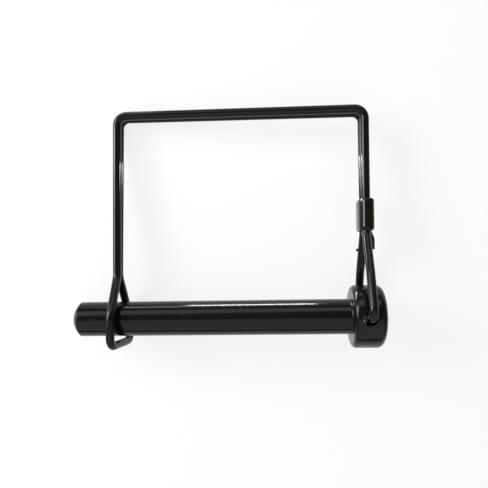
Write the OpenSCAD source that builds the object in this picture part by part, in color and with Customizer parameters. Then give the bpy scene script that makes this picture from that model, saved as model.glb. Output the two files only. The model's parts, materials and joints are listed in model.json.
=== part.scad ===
// Trailer hitch pin with a square wire bail that locks over its nose.
// Sizes are in millimetres. The part is drawn with its shank along X and its
// bail in the XY plane, then laid down as it comes to rest, resting on its wire.
// The origin is where the shank's axis meets the face of the head.

/* [Part] */
// which piece to draw

/* [Pin] */
// diameter of the shank
shank_d = 10; // [6:0.5:16]
// length from the nose's tip to the face of the head
shank_len = 80; // [40:1:140]
// radius of the nose's dome
nose_r = 6.6; // [5.2:0.1:12]
// radius that softens the edge between dome and shank
nose_edge_r = 0.4; // [0.2:0.1:2]
// diameter of the head
head_d = 17.8; // [12:0.2:28]
// thickness of the head
head_len = 8.8; // [6:0.2:14]
// radius on the head's edge beside the shank
head_in_r = 1.3; // [0.3:0.1:2.5]
// radius on the head's outer edge
head_out_r = 2; // [0.3:0.1:3]
// distance from the head's face to the middle of its cross hole
hole_x = 3.8; // [3:0.1:7]
// diameter of the cross hole
hole_d = 3.6; // [2.8:0.1:5]
// width of the bevel around each mouth of the cross hole
hole_bevel = 0.3; // [0.1:0.05:0.8]

/* [Wire] */
// diameter of the wire
wire_d = 2.4; // [1.6:0.1:3.2]
// gap between the two strands where they run side by side
strand_gap = 0.1; // [0.05:0.05:1]
// how far the farther strand lies to the nose's side of the other one
strand_skew = 0.3; // [0:0.05:1]
// how far the wire lies from the middle of the cross hole
wire_seat = 0.5; // [0:0.05:0.55]
// bevel on each cut end of the wire
end_bevel = 0.3; // [0.1:0.05:0.6]

/* [Bail] */
// height of the top bar's middle above the shank's axis, at the nose
bar_y = 58.6; // [35:0.1:90]
// how much lower the top bar is at the head
bar_fall = 0.3; // [0:0.05:2]
// distance from the head's face back to the leg at the nose
nose_leg_x = 66.8; // [30:0.1:125]
// how far the leg at the nose leans toward the head at its top
nose_leg_lean = 0.8; // [0:0.1:2]
// radius of the bail's square corners, at the wire's middle
corner_r = 2.8; // [2:0.1:8]

/* [Nose loop] */
// height at which the strands part above the shank
split_y = 12.4; // [9:0.1:20]
// height of the knee where the strands turn straight down
knee_y = 1.4; // [0:0.1:4]
// half the width of the loop, at the wire's middle
loop_half = 7.3; // [7:0.1:10]
// depth of the loop's floor below the shank's axis
loop_drop = 7.2; // [7:0.1:10]
// how far the loop's floor lies nearer the head than the leg does
loop_in = 0.25; // [0:0.05:2]
// how far each end of the loop's floor is twisted out of square
loop_twist = 0.6; // [0:0.05:1]
// radius of the loop's lower corners
loop_r = 2.6; // [2:0.1:5]
// radius of the bends at the parting and at the knee
knee_r = 5; // [3:0.5:10]

/* [Hinge legs] */
// height of the soft bend in each leg beside the head
hub_knee_y = 12.5; // [10:0.5:18]
// half the distance between the legs at that bend
hub_knee_half = 6.9; // [5:0.1:9]
// half the distance between the points that the legs and the hinge run aim at
hub_half = 11.9; // [11:0.1:15]
// radius of the bend where a leg enters the hole
hub_r = 2.4; // [2:0.1:3]
// radius of the soft bends in the legs
leg_bend_r = 9; // [4:0.5:20]
// radius of the bends where the legs fan out below the ferrule
fan_r = 3.5; // [2:0.5:4]
// how far below the ferrule the legs start to fan out
fan_drop = 0.95; // [0.8:0.05:2]
// how far each leg leans out of line at its soft bend
leg_twist = 0.1; // [0:0.05:0.3]

// how much thicker the wire's radius is round a bend than along a straight
bend_extra = 0.015; // [0.01:0.005:0.05]

/* [Ferrule] */
// height of the ferrule's lower end above the hinge
ferrule_y = 24.3; // [20:0.1:35]
// length of the ferrule
ferrule_len = 8.8; // [5:0.1:14]
// width of the ferrule across the bail's plane
ferrule_w = 4.2; // [3.8:0.02:7]
// thickness of the ferrule's wall
ferrule_wall = 0.4; // [0.3:0.05:0.8]
// room left around the strands inside the ferrule
ferrule_room = 0.08; // [0.05:0.01:0.3]
// how far the tail sticks out below the ferrule
tail_len = 5.4; // [4:0.1:10]
// how far the tail stands out to the side once it has left the ferrule
tail_out = 1; // [0.2:0.1:1.5]
// height over which the tail bends out to there
tail_bend = 2.4; // [2:0.1:3]

/* [Rest] */
// roll at which the part lies on a flat floor, in degrees
lie_roll = 6.061; // [0:0.001:20]
// pitch at which it lies, nose down, in degrees
lie_pitch = 2.966; // [0:0.001:10]

/* [Hidden] */
$fn = 64;
shank_r = shank_d / 2;
head_r = head_d / 2;
wr = wire_d / 2;
// how far each straight reaches into a bend, and each cut end into its straight
bend_lap = 0.12;
end_lap = 0.03;
// how much fuller than its radius the nose's softened edge is drawn, so that it
// crosses the dome and the shank's wall instead of only touching them
edge_extra = 0.003;
half = (wire_d + strand_gap) / 2;
// the wire's run through the head, which is the hinge's axis
hub_x = hole_x + wire_seat;
// ferrule: the three strands are packed in a zigzag across its depth
side = ferrule_w / 2 - ferrule_wall - ferrule_room - wr;
near_x = hub_x + 2 * leg_twist;
ferrule_x = near_x + 0.22;
tail_x = ferrule_x + side;
far_x = ferrule_x - 0.04;
step_z = sqrt(pow(wire_d + strand_gap, 2) - pow(tail_x - near_x, 2));
near_z = half;
tail_z = near_z - step_z;
far_z = near_z - 2 * step_z;
ferrule_top = ferrule_y + ferrule_len;
leg_top_y = ferrule_y - fan_drop;
ferrule_deep = 2 * (step_z + wr + ferrule_room + ferrule_wall);

// dome and its softened edge: the point where the small radius leaves the dome
edge_c = shank_r - nose_edge_r;
dome_c = -shank_len + nose_r;
edge_x = dome_c - sqrt(pow(nose_r - nose_edge_r, 2) - pow(edge_c, 2));
edge_a = atan2(edge_c, dome_c - edge_x);

function unit(v) = v / norm(v);
function turn(a, b, c) = acos(max(-1, min(1, unit(b - a) * unit(c - b))));
// how far a bend of radius r reaches along each straight beside its corner
function reach(a, b, c, r) = r * tan(turn(a, b, c) / 2);
function cut(p, r, i) =
    i == 0 || i == len(p) - 1 ? 0 : reach(p[i - 1], p[i], p[i + 1], r[i]);

// a rod from a to b
module rod(a, b, r) {
    d = b - a;
    u = unit(d);
    s = abs(u[2]) > 0.9 ? unit(cross([0, 1, 0], u)) : unit(cross([0, 0, 1], u));
    t = cross(u, s);
    multmatrix([[s[0], t[0], u[0], a[0]], [s[1], t[1], u[1], a[1]],
                [s[2], t[2], u[2], a[2]], [0, 0, 0, 1]])
        cylinder(r = r, h = norm(d), $fn = 20);
}

// a bend at corner b between the straights from a and to c
module bend(a, b, c, r, w) {
    u = unit(b - a);
    v = unit(c - b);
    g = turn(a, b, c);
    n = unit(cross(u, v));
    start = b - u * reach(a, b, c, r);
    inward = cross(n, u);
    o = start + inward * r;
    // local x runs from the bend's middle to its start, local y along the wire
    multmatrix([[-inward[0], u[0], n[0], o[0]], [-inward[1], u[1], n[1], o[1]],
                [-inward[2], u[2], n[2], o[2]], [0, 0, 0, 1]])
        rotate_extrude(angle = g, $fn = 60)
            translate([r, 0])
                circle(r = w, $fn = 20);
}

// a bevelled cut end, pointing along u from p
module cut_end(p, u, w, e) {
    s = abs(u[2]) > 0.9 ? unit(cross([0, 1, 0], u)) : unit(cross([0, 0, 1], u));
    t = cross(u, s);
    multmatrix([[s[0], t[0], u[0], p[0]], [s[1], t[1], u[1], p[1]],
                [s[2], t[2], u[2], p[2]], [0, 0, 0, 1]])
        translate([0, 0, -end_lap])
            cylinder(r1 = w - end_lap, r2 = w - e, h = e + end_lap, $fn = 20);
}

// a bent wire through points p, with a bend of radius r[i] at point i. The bends
// are a hair thicker than the straights, whose ends reach a little way into them
module bent_wire(p, r, w) {
    for (i = [0 : len(p) - 2]) {
        u = unit(p[i + 1] - p[i]);
        from = cut(p, r, i) - (i == 0 ? 0 : bend_lap);
        to = cut(p, r, i + 1) - (i + 1 == len(p) - 1 ? 0 : bend_lap);
        rod(p[i] + u * from, p[i + 1] - u * to, w);
    }
    for (i = [1 : len(p) - 2])
        bend(p[i - 1], p[i], p[i + 1], r[i], w + bend_extra);
}

// the part as it lies at rest
module lying() {
    rotate([-lie_roll, -lie_pitch, 0])
        children();
}

// nose and shank, turned about X
module shank_shape() {
    rotate([0, 90, 0])
        rotate_extrude()
            intersection() {
                union() {
                    // dome, as far round as its softened edge
                    intersection() {
                        translate([0, dome_c])
                            circle(r = nose_r, $fn = 180);
                        translate([0, dome_c])
                            polygon([[0, 0], [0, -2 * nose_r],
                                     2 * nose_r * [tan(edge_a), -1]]);
                    }
                    // softened edge
                    translate([edge_c, edge_x])
                        circle(r = nose_edge_r + edge_extra, $fn = 60);
                    translate([0, edge_x])
                        square([shank_r, -edge_x + head_in_r]);
                }
                translate([0, -shank_len])
                    square([shank_r, shank_len + head_in_r]);
            }
}

module head_shape() {
    rotate([0, 90, 0])
        rotate_extrude($fn = 96)
            union() {
                square([head_r - head_out_r, head_len]);
                square([head_r - head_in_r, head_len - head_out_r]);
                translate([0, head_in_r])
                    square([head_r, head_len - head_in_r - head_out_r]);
                translate([head_r - head_in_r, head_in_r])
                    circle(r = head_in_r);
                translate([head_r - head_out_r, head_len - head_out_r])
                    circle(r = head_out_r);
            }
}

module lock_pin() {
    color([0.07, 0.07, 0.08])
        lying()
            difference() {
                union() {
                    shank_shape();
                    head_shape();
                }
                translate([hole_x, 0, -head_r - 1])
                    cylinder(d = hole_d, h = head_d + 2);
                // bevels at both mouths of the hole
                for (s = [0, 180])
                    rotate([s, 0, 0])
                        translate([hole_x, 0, head_r - hole_bevel])
                            cylinder(d1 = hole_d, d2 = hole_d + 4 * hole_bevel,
                                h = 2 * hole_bevel);
            }
}

module wire_bail() {
    nx = -nose_leg_x;
    // the far strand comes from its tail below the ferrule, goes round the bail,
    // under the nose, back round as the near strand and through the head
    far_run = [
        [tail_x + tail_out, ferrule_y - tail_len + end_bevel, tail_z],
        [tail_x + tail_out, ferrule_y - tail_bend, tail_z],
        [tail_x, ferrule_y, tail_z],
        [tail_x, ferrule_top - 2.6, tail_z],
        [near_x - 0.2, ferrule_top + 0.6, -half],
        [near_x - strand_skew, bar_y - bar_fall - strand_skew, -half],
        [nx + nose_leg_lean, bar_y, -half],
        [nx - strand_skew, split_y, -half],
        [nx + loop_in / 2 + 0.4 * loop_twist, knee_y, -loop_half],
        [nx + loop_in + loop_twist, -loop_drop, -loop_half],
        [nx + loop_in - loop_twist, -loop_drop, loop_half],
        [nx + loop_in / 2 - 0.4 * loop_twist, knee_y, loop_half],
        [nx, split_y, half],
        [nx + nose_leg_lean, bar_y, half],
        [near_x, bar_y - bar_fall, half],
        [near_x, leg_top_y, half],
        [hub_x + leg_twist, hub_knee_y, hub_knee_half],
        [hub_x, 0, hub_half],
        [hub_x, 0, -hub_half],
        [hub_x - leg_twist, hub_knee_y, -hub_knee_half],
        [far_x, leg_top_y, far_z],
        [far_x, ferrule_top - 3.6, far_z]
    ];
    radii = [0, 2, 2, 3, 3, corner_r, corner_r, knee_r, knee_r, loop_r, loop_r,
        knee_r, knee_r, corner_r, corner_r, fan_r, leg_bend_r, hub_r,
        hub_r, leg_bend_r, fan_r, 0];
    n = len(far_run);
    color([0.08, 0.08, 0.09])
        lying() {
            bent_wire(far_run, radii, wr);
            cut_end(far_run[0], unit(far_run[0] - far_run[1]), wr, end_bevel);
            cut_end(far_run[n - 1], unit(far_run[n - 1] - far_run[n - 2]), wr,
                end_bevel);
        }
}

// an oval with straight sides, w wide and d deep
module oval(w, d) {
    square([w, d - w], center = true);
    for (s = [-1, 1])
        translate([0, s * (d - w) / 2])
            circle(r = w / 2, $fn = 64);
}

module ferrule() {
    color([0.1, 0.1, 0.1])
        lying()
            translate([ferrule_x, ferrule_y, tail_z])
                rotate([-90, 0, 0])
                    difference() {
                        linear_extrude(ferrule_len)
                            oval(ferrule_w, ferrule_deep);
                        translate([0, 0, -1])
                            linear_extrude(ferrule_len + 2)
                                oval(ferrule_w - 2 * ferrule_wall,
                                    ferrule_deep - 2 * ferrule_wall);
                    }
}

lock_pin();
wire_bail();
ferrule();
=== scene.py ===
"""A trailer hitch pin in gloss black paint, lying on its wire bail on a pale floor."""
import json
import math

import bmesh
import bpy
from mathutils import Matrix, Vector


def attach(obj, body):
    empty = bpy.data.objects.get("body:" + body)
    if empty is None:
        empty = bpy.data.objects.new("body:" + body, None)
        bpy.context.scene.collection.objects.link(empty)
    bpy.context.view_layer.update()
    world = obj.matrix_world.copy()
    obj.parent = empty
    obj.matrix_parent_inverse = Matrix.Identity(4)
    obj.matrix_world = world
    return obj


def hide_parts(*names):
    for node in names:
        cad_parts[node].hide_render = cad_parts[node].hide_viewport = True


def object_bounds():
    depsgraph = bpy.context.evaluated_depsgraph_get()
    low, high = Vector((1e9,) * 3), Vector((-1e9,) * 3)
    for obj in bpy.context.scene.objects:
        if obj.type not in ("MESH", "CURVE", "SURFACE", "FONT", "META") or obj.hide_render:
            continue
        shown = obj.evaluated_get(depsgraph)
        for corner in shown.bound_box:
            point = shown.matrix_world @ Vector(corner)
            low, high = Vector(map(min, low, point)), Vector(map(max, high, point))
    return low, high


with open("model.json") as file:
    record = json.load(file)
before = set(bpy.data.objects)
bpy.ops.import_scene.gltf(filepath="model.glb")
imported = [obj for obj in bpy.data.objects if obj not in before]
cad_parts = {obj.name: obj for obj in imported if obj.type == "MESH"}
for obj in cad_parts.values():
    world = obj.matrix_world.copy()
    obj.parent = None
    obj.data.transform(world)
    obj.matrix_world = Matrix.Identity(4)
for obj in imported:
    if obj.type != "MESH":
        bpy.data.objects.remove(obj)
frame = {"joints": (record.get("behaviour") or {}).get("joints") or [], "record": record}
CAD_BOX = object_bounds()
MM = 0.001

# Sizes of the real part in millimetres, along the pin's own axes: x to the head, y to the top bar
# and z out of the bail's plane, from the point where the shank's axis meets the head's face.
SHANK_R = 5.0
HEAD_R = 8.9
HEAD_LEN = 8.8
HEAD_IN_R = 1.3
HEAD_OUT_R = 2.0
FILLET = 0.35
NOSE_TIP = -80.0
NOSE_R = 6.6
NOSE_EDGE = 0.4
HOLE_X = 3.8
HOLE_R = 1.8
MOUTH_R = 0.45
DRILL_WIDE = 2.6
WIRE_R = 1.2
FERRULE_X = 4.72
FERRULE_Z = -1.1667
FERRULE_Y = 24.3
FERRULE_LEN = 8.8
FERRULE_HALF = 2.1
FERRULE_DEEP = 4.0967
PRESSED = 0.25

# The wire from its tail to its other end: the corners it would turn at, each with its bend radius.
ROUTE = (
    ((6.14, 18.9, -1.1667), 0),
    ((6.14, 21.9, -1.1667), 2),
    ((5.14, 24.3, -1.1667), 2),
    ((5.14, 30.5, -1.1667), 3),
    ((4.3, 33.7, -1.25), 3),
    ((4.2, 58.0, -1.25), 2.8),
    ((-66.0, 58.6, -1.25), 2.8),
    ((-67.1, 12.4, -1.25), 5),
    ((-66.435, 1.4, -7.3), 5),
    ((-65.95, -7.2, -7.3), 2.6),
    ((-67.15, -7.2, 7.3), 2.6),
    ((-66.915, 1.4, 7.3), 5),
    ((-66.8, 12.4, 1.25), 5),
    ((-66.0, 58.6, 1.25), 2.8),
    ((4.5, 58.3, 1.25), 2.8),
    ((4.5, 23.35, 1.25), 3.5),
    ((4.4, 12.5, 6.9), 9),
    ((4.3, 0, 11.9), 2.4),
    ((4.3, 0, -11.9), 2.4),
    ((4.2, 12.5, -6.9), 9),
    ((4.68, 23.35, -3.5834), 3.5),
    ((4.68, 29.8, -3.5834), 0),
)


def own_axes():
    """The turn from the pin's own axes to the frame, read from the record's mount and joint."""
    shank = next(m for m in frame["record"]["mounts"] if m["name"] == "shank")
    x = -Vector(shank["axis"]).normalized()
    z = -Vector(frame["joints"][0]["axis"]).normalized()
    return Matrix((x, z.cross(x), z)).transposed()


LIE = own_axes().to_4x4()


# Paint and metal


class Port:
    """A shader socket; a sum written with it adds the Math node for that sum."""

    def __init__(self, finish, socket):
        self.finish = finish
        self.socket = socket

    def math(self, operation, *values):
        return self.finish.node("Math", {"operation": operation}, dict(enumerate(values)))

    def __add__(self, other):
        return self.math("ADD", self, other)

    __radd__ = __add__

    def __mul__(self, other):
        return self.math("MULTIPLY", self, other)

    __rmul__ = __mul__

    def above(self, edge, soft):
        """0 below the edge and 1 above it, over a soft step."""
        return self.finish.node(
            "MapRange", {"interpolation_type": "SMOOTHSTEP"},
            {"Value": self, "From Min": edge - soft, "From Max": edge + soft},
        )


class Finish:
    """One finish of the part, built on a material's own shader."""

    def __init__(self, name):
        self.material = bpy.data.materials.new(name)
        self.material.use_nodes = True
        self.tree = self.material.node_tree
        self.shader = self.tree.nodes["Principled BSDF"]

    def give(self, socket, value):
        if isinstance(value, Port):
            self.tree.links.new(value.socket, socket)
        else:
            socket.default_value = value

    def node(self, kind, settings=None, sockets=None, out=0):
        made = self.tree.nodes.new("ShaderNode" + kind)
        for key, value in (settings or {}).items():
            setattr(made, key, value)
        for key, value in (sockets or {}).items():
            self.give(made.inputs[key], value)
        return Port(self, made.outputs[out])

    def place(self):
        return self.node("TexCoord", out=3)

    def noise(self, size_mm, detail, rough):
        """Noise whose marks are about size_mm across."""
        return self.node(
            "TexNoise", None,
            {"Vector": self.place(), "Scale": 1000 / size_mm, "Detail": detail, "Roughness": rough},
        )

    def blend(self, share, first, second):
        """A colour between two, by a share from 0 to 1."""
        return self.node(
            "Mix", {"data_type": "RGBA"}, {"Factor": share, 6: first, 7: second}, out=2
        )

    def surface(self, **values):
        for key, value in values.items():
            self.give(self.shader.inputs[key.replace("_", " ")], value)


def gloss_black(name, peel=0.006, peel_mm=1.3, nibs=0.76, gloss=0.08,
                tint_low=(0.0018, 0.0019, 0.0022, 1), tint_high=(0.0034, 0.0035, 0.0038, 1)):
    """Sprayed gloss black enamel: orange peel, dust nibs and a little dulling from handling."""
    coat = Finish(name)
    peel_noise = coat.noise(peel_mm, 1.5, 0.45)
    fine_noise = coat.noise(0.28, 2.0, 0.6)
    cloud = coat.noise(9.0, 3.0, 0.55)
    nib = coat.noise(0.36, 0.0, 0.5).above(nibs, 0.03)
    height = peel_noise + fine_noise * 0.06 + nib * 0.35
    bump = coat.node(
        "Bump", None, {"Strength": 1.0, "Distance": peel * MM, "Height": height}
    )
    tint = coat.blend(cloud, tint_low, tint_high)
    worn = coat.blend(nib, tint, (0.014, 0.015, 0.016, 1))
    coat.surface(
        Base_Color=worn,
        Roughness=gloss + cloud * 0.12 + nib * 0.2,
        Normal=bump,
        IOR=1.32,
    )
    return coat.material


# Modelling helpers


def deselect():
    if bpy.context.object and bpy.context.object.mode != "OBJECT":
        bpy.ops.object.mode_set(mode="OBJECT")
    bpy.ops.object.select_all(action="DESELECT")


def choose(verts=None, edges=None, faces=None):
    """In edit mode, selects the parts of one kind whose middle, in mm, passes the test."""
    mesh = bpy.context.object.data
    bpy.ops.mesh.select_all(action="DESELECT")
    cage = bmesh.from_edit_mesh(mesh)
    if verts:
        found = [v for v in cage.verts if verts(v, v.co / MM)]
    elif edges:
        found = [e for e in cage.edges if edges(e, (e.verts[0].co + e.verts[1].co) / 2 / MM)]
    else:
        found = [f for f in cage.faces if faces(f, f.calc_center_median() / MM)]
    for part in found:
        part.select_set(True)
    cage.select_flush_mode()
    bmesh.update_edit_mesh(mesh)


def ring(name, place, axis, radius, sides):
    """An open circle across the axis, in edit mode, with its rim selected."""
    deselect()
    turn = Vector(axis).to_track_quat("Z", "Y").to_euler()
    bpy.ops.mesh.primitive_circle_add(
        vertices=sides, radius=radius * MM, location=Vector(place) * MM, rotation=turn
    )
    piece = bpy.context.object
    piece.name = piece.data.name = name
    bpy.ops.object.transform_apply(location=True, rotation=True, scale=True)
    bpy.ops.object.mode_set(mode="EDIT")
    bpy.ops.mesh.select_mode(type="EDGE")
    bpy.ops.mesh.select_all(action="SELECT")
    return piece


def pull(x, y, z):
    bpy.ops.mesh.extrude_region_move(TRANSFORM_OT_translate={"value": Vector((x, y, z)) * MM})


def scale_about(centre, value):
    bpy.ops.transform.resize(value=value, center_override=Vector(centre) * MM)


def close_ends():
    bpy.ops.mesh.select_all(action="SELECT")
    bpy.ops.mesh.fill_holes(sides=0)


def even_out():
    bpy.ops.mesh.select_all(action="SELECT")
    bpy.ops.mesh.remove_doubles(threshold=0.004 * MM)
    bpy.ops.mesh.normals_make_consistent(inside=False)
    bpy.ops.object.mode_set(mode="OBJECT")


def apply(piece, kind, **settings):
    deselect()
    piece.select_set(True)
    bpy.context.view_layer.objects.active = piece
    made = piece.modifiers.new(kind.title(), kind)
    for key, value in settings.items():
        setattr(made, key, value)
    bpy.ops.object.modifier_apply(modifier=made.name)


def lay_down(piece, body, material, angle=40):
    """Turns a piece from the pin's own axes into the frame and fixes its place in its mesh."""
    deselect()
    piece.select_set(True)
    bpy.context.view_layer.objects.active = piece
    piece.matrix_world = LIE
    bpy.ops.object.transform_apply(location=True, rotation=True, scale=True)
    bpy.ops.object.shade_smooth_by_angle(angle=math.radians(angle))
    piece.data.materials.clear()
    piece.data.materials.append(material)
    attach(piece, body)
    return piece


# The pin


def turned_outline():
    """The pin's radius along its axis, from the nose's tip to the head's outer face, in mm."""
    line = []
    # the domed nose: a shallow dome with a small round edge into the shank
    edge_x = NOSE_TIP + NOSE_R - math.sqrt((NOSE_R - NOSE_EDGE) ** 2 - (SHANK_R - NOSE_EDGE) ** 2)
    centre_r = SHANK_R - NOSE_EDGE
    meet = math.atan2(centre_r, NOSE_TIP + NOSE_R - edge_x)
    for step in range(1, 13):
        a = meet * step / 12
        line.append((NOSE_TIP + NOSE_R - NOSE_R * math.cos(a), NOSE_R * math.sin(a)))
    for step in range(1, 7):
        a = meet + (math.pi / 2 - meet) * step / 6
        line.append((edge_x - NOSE_EDGE * math.cos(a), centre_r + NOSE_EDGE * math.sin(a)))
    # the shank, in short even lengths
    for step in range(1, 25):
        line.append((edge_x + (-FILLET - edge_x) * step / 24, SHANK_R))
    # the paint's fillet in the corner under the head
    for step in range(1, 6):
        a = math.pi / 2 * step / 5
        line.append((-FILLET + FILLET * math.sin(a), SHANK_R + FILLET * (1 - math.cos(a))))
    # the head
    line.append((0.0, 6.6))
    for step in range(0, 8):
        a = math.pi / 2 * step / 7
        line.append((HEAD_IN_R - HEAD_IN_R * math.cos(a),
                     HEAD_R - HEAD_IN_R + HEAD_IN_R * math.sin(a)))
    for step in range(1, 22):
        line.append((HEAD_IN_R + (HEAD_LEN - HEAD_OUT_R - HEAD_IN_R) * step / 21, HEAD_R))
    for step in range(1, 10):
        a = math.pi / 2 * step / 9
        line.append((HEAD_LEN - HEAD_OUT_R + HEAD_OUT_R * math.sin(a),
                     HEAD_R - HEAD_OUT_R + HEAD_OUT_R * math.cos(a)))
    # rings across the flat outer face
    line.append((HEAD_LEN, 4.0))
    line.append((HEAD_LEN, 1.0))
    return line


def turn_pin():
    """The round pin with its nose and head, turned as one piece."""
    outline = turned_outline()
    x, r = outline[0]
    piece = ring("round_pin", (x, 0, 0), (1, 0, 0), r, 144)
    for next_x, next_r in outline[1:]:
        pull(next_x - x, 0, 0)
        scale_about((next_x, 0, 0), (1, next_r / r, next_r / r))
        x, r = next_x, next_r
    close_ends()
    even_out()
    return piece


def drill_cross_hole(pin):
    """The bail's hole through the head, with its mouths opened by a round edge."""
    top = HEAD_R + 1.0
    piece = ring("cross_drill", (HOLE_X, 0, -top), (0, 0, 1), DRILL_WIDE, 48)
    z, r = -top, DRILL_WIDE
    steps = []
    for step in range(0, 6):
        a = math.pi / 2 * step / 5
        steps.append((-HEAD_R + MOUTH_R - MOUTH_R * math.cos(a),
                      HOLE_R + MOUTH_R - MOUTH_R * math.sin(a)))
    line = [(-top, DRILL_WIDE), (-HEAD_R - 0.02, HOLE_R + 0.5)] + steps
    line = line + [(-height, radius) for height, radius in reversed(line)]
    for next_z, next_r in line[1:]:
        pull(0, 0, next_z - z)
        scale_about((HOLE_X, 0, next_z), (next_r / r, next_r / r, 1))
        z, r = next_z, next_r
    close_ends()
    even_out()
    apply(pin, "BOOLEAN", operation="DIFFERENCE", solver="EXACT", object=piece)
    bpy.data.objects.remove(piece)


# The wire bail


def bend_wire(name, route, radius, sides):
    """One wire along its route: its straight runs are pulled out and its bends are spun."""
    corners = [Vector(place) for place, _ in route]
    ahead = (corners[1] - corners[0]).normalized()
    piece = ring(name, corners[0], ahead, radius, sides)
    here = corners[0]
    for number in range(1, len(corners)):
        ahead = (corners[number] - here).normalized()
        if number == len(corners) - 1:
            run_straight(corners[number] - here)
            break
        onward = (corners[number + 1] - corners[number]).normalized()
        turn = ahead.angle(onward)
        set_back = route[number][1] * math.tan(turn / 2)
        start = corners[number] - ahead * set_back
        run_straight(start - here)
        axis = ahead.cross(onward).normalized()
        centre = start + axis.cross(ahead) * route[number][1]
        bpy.ops.mesh.spin(
            steps=max(2, round(math.degrees(turn) / 5)), angle=turn,
            center=centre * MM, axis=-axis,
        )
        here = corners[number] + onward * set_back
    close_ends()
    choose(faces=lambda face, middle: len(face.verts) > 4)
    bpy.ops.mesh.bevel(offset=0.3 * MM, segments=3, affect="EDGES")
    even_out()
    return piece


def run_straight(way):
    parts = max(1, round(way.length / 2.5))
    for _ in range(parts):
        pull(*(way / parts))


# The ferrule


def mouth(low):
    """Half of the sleeve's wall from its inside to its outside: height from the mouth, depth in."""
    line = [(1.2, 0.4), (0.3, 0.4), (0.12, 0.41)]
    for step in range(0, 4):
        a = math.pi / 2 * step / 3
        line.append((0.06 - 0.06 * math.sin(a), 0.41 - 0.05 * (1 - math.cos(a))))
    for step in range(0, 8):
        a = math.pi / 2 * step / 7
        line.append((low * (1 - math.cos(a)), 0.3 * (1 - math.sin(a))))
    return line


def press_ferrule():
    """The flat oval sleeve pressed round the three wires, with its mouths turned in."""
    top = FERRULE_Y + FERRULE_LEN
    wall = [(FERRULE_Y + up, depth) for up, depth in mouth(1.1)]
    wall += [(FERRULE_Y + 1.1 + (FERRULE_LEN - 1.9) * step / 9, 0.0) for step in range(1, 9)]
    wall += [(top - down, depth) for down, depth in reversed(mouth(0.8))]
    y, depth = wall[0]
    piece = ring("ferrule_sleeve", (FERRULE_X, y, FERRULE_Z), (0, 1, 0), FERRULE_HALF - depth, 72)
    # the round tube is drawn out to an oval
    stretch = (FERRULE_DEEP - FERRULE_HALF) * MM
    bpy.ops.mesh.select_mode(type="VERT")
    choose(verts=lambda vert, middle: middle.z > FERRULE_Z + 0.001)
    bpy.ops.transform.translate(value=(0, 0, stretch))
    choose(verts=lambda vert, middle: middle.z < FERRULE_Z - 0.001)
    bpy.ops.transform.translate(value=(0, 0, -stretch))
    # the jaws that press it leave a flat on two opposite corners
    for side in (1, -1):
        slope = Vector((-0.77, 0, 0.64)).normalized() * side
        crown = Vector((FERRULE_X, y, FERRULE_Z + side * (FERRULE_DEEP - FERRULE_HALF)))
        flat = crown + slope * (FERRULE_HALF - depth - PRESSED)
        bpy.ops.mesh.select_all(action="SELECT")
        bpy.ops.mesh.bisect(plane_co=flat * MM, plane_no=slope, clear_outer=True)
        choose(verts=lambda vert, place: abs((place - flat).dot(slope)) < 0.001)
        bpy.ops.mesh.edge_face_add()
        bpy.ops.mesh.subdivide(number_cuts=7)
    bpy.ops.mesh.select_mode(type="EDGE")
    bpy.ops.mesh.select_all(action="SELECT")
    for next_y, next_depth in wall[1:]:
        pull(0, next_y - y, 0)
        scale_about((FERRULE_X, next_y, FERRULE_Z), (
            (FERRULE_HALF - next_depth) / (FERRULE_HALF - depth), 1,
            (FERRULE_DEEP - next_depth) / (FERRULE_DEEP - depth)))
        y, depth = next_y, next_depth
    # the inner wall joins the two ends of the profile
    bpy.ops.mesh.select_all(action="DESELECT")
    bpy.ops.mesh.select_non_manifold()
    bpy.ops.mesh.bridge_edge_loops()
    even_out()
    return piece


def paint_bead():
    """The small ridge of paint that crosses the farther leg."""
    leg = Vector((0.48, 10.85, 3.32)).normalized()
    spot = Vector((4.49, 19.0, -4.91))
    start = spot + Vector((-WIRE_R - 0.2, 0, 0)) + Vector((0, 0, -0.3))
    piece = ring("paint_bead", start, (0, 0, 1), 0.38, 16)
    bpy.ops.mesh.spin(steps=14, angle=math.radians(150), center=spot * MM, axis=leg)
    close_ends()
    even_out()
    return piece


# The floor, lamps and camera


def lay_floor():
    deselect()
    low = CAD_BOX[0].z
    bpy.ops.mesh.primitive_plane_add(size=6, location=(0, 0, low))
    floor = bpy.context.object
    floor.name = "pale_floor"
    card = Finish("pale_card")
    tree = card.tree
    rays = tree.nodes.new("ShaderNodeLightPath")
    seen = card.node(
        "Math", {"operation": "ADD", "use_clamp": True},
        {0: Port(card, rays.outputs["Is Camera Ray"]), 1: Port(card, rays.outputs["Is Glossy Ray"])},
    )
    seen = card.node(
        "Math", {"operation": "ADD", "use_clamp": True},
        {0: seen, 1: Port(card, rays.outputs["Is Transmission Ray"])},
    )
    card.surface(Base_Color=(0.86, 0.86, 0.86, 1), Roughness=0.9, Specular_IOR_Level=0.1)
    glow = card.node("Emission", None, {"Color": (1, 1, 1, 1), "Strength": 1.0})
    # the rest of the floor's look is its own shading, which keeps the shadow of the part
    own = Port(card, card.shader.outputs[0])
    mixed = card.node("MixShader", None, {0: seen * 0.78, 1: own, 2: glow})
    tree.links.new(mixed.socket, tree.nodes["Material Output"].inputs["Surface"])
    floor.data.materials.append(card.material)


def softbox(name, place, aim, width, height, glow, tint=(1, 1, 1)):
    """A lamp panel of a given brightness, aimed at a point; places in mm."""
    lamp = bpy.data.lights.new(name, "AREA")
    lamp.shape = "RECTANGLE"
    lamp.size = width * MM
    lamp.size_y = height * MM
    lamp.energy = glow * math.pi * lamp.size * lamp.size_y
    lamp.color = tint
    panel = bpy.data.objects.new(name, lamp)
    bpy.context.scene.collection.objects.link(panel)
    panel.location = Vector(place) * MM
    panel.rotation_mode = "QUATERNION"
    panel.rotation_quaternion = (Vector(aim) - Vector(place)).to_track_quat("-Z", "Y")
    panel.visible_camera = False
    return panel


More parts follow.
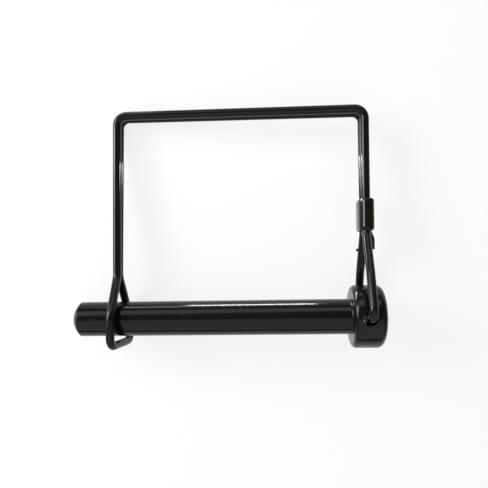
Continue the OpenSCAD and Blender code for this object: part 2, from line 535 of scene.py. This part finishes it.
def set_camera():
    """The photograph's place and lens, found from the outlines of the shank, head and wire."""
    roll = Matrix.Rotation(0.0161, 3, "Z")
    pitch = Matrix.Rotation(0.0068, 3, "X")
    yaw = Matrix.Rotation(-0.0606, 3, "Y")
    turn = roll @ pitch @ yaw
    aim = Vector((-30.08, 12.23, 0))
    distance = 132.9102
    place = aim + distance * Vector(turn[2])
    view = turn.transposed().to_4x4()
    view.translation = place * MM
    camera = bpy.data.objects.new("camera", bpy.data.cameras.new("camera"))
    bpy.context.scene.collection.objects.link(camera)
    camera.matrix_world = LIE @ view
    photo_px = 488
    focal_px = 461.9869
    axis_row = 275
    sensor = 36
    camera.data.sensor_width = sensor
    camera.data.lens = focal_px * sensor / photo_px
    camera.data.shift_y = (axis_row - photo_px / 2) / photo_px
    camera.data.clip_start = 0.005
    bpy.context.scene.camera = camera


def light_studio():
    world = bpy.data.worlds.new("studio")
    bpy.context.scene.world = world
    world.use_nodes = True
    world.node_tree.nodes["Background"].inputs["Color"].default_value = (0.26, 0.26, 0.255, 1)
    # a low strip inside the bail draws the thin white line along the middle of the shank,
    # and a dimmer one behind the nose-side leg carries it on to the nose
    strip = softbox("shank_strip", (-29.5, 47, -9.3), (-29.5, 0, -9.3), 48, 4.6, 62)
    strip.visible_diffuse = False
    end_strip = softbox("nose_strip", (-84, 106, -5), (-84, 0, -5), 37, 13, 7)
    end_strip.visible_diffuse = False
    # a panel high on the far side, and a wide one on the near side, give the two grey bands
    softbox("back_panel", (-190, 330, 250), (-40, 0, 0), 900, 200, 1.55, tint=(0.92, 1, 1.08))
    softbox("near_panel", (-30, -240, 315), (-30, 0, 0), 900, 620, 0.8)
    # lamps on the left draw the bright lines down the wires and the ferrule
    softbox("left_lamp", (-420, 175, 200), (0, 45, 0), 330, 130, 15)
    softbox("low_left_lamp", (-400, 150, 45), (0, 40, 0), 60, 150, 14)


# The whole part

pin_coat = gloss_black("gloss_black_pin")
wire_coat = gloss_black("gloss_black_wire", peel=0.003, peel_mm=1.0, gloss=0.1)
ferrule_coat = gloss_black("gloss_black_ferrule", peel=0.003, peel_mm=0.9, gloss=0.08,
                           tint_low=(0.003, 0.0029, 0.0016, 1), tint_high=(0.0056, 0.0053, 0.003, 1))

pin = turn_pin()
drill_cross_hole(pin)
lay_down(pin, "pin", pin_coat)
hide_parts("lock_pin")

bail = bend_wire("bail_wire", ROUTE, WIRE_R, 32)
lay_down(bail, "bail", wire_coat)
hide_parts("wire_bail")

sleeve = press_ferrule()
lay_down(sleeve, "bail", ferrule_coat)
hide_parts("ferrule")

bead = paint_bead()
lay_down(bead, "bail", wire_coat)

lay_floor()
light_studio()
set_camera()

bpy.context.scene.view_settings.view_transform = "Standard"
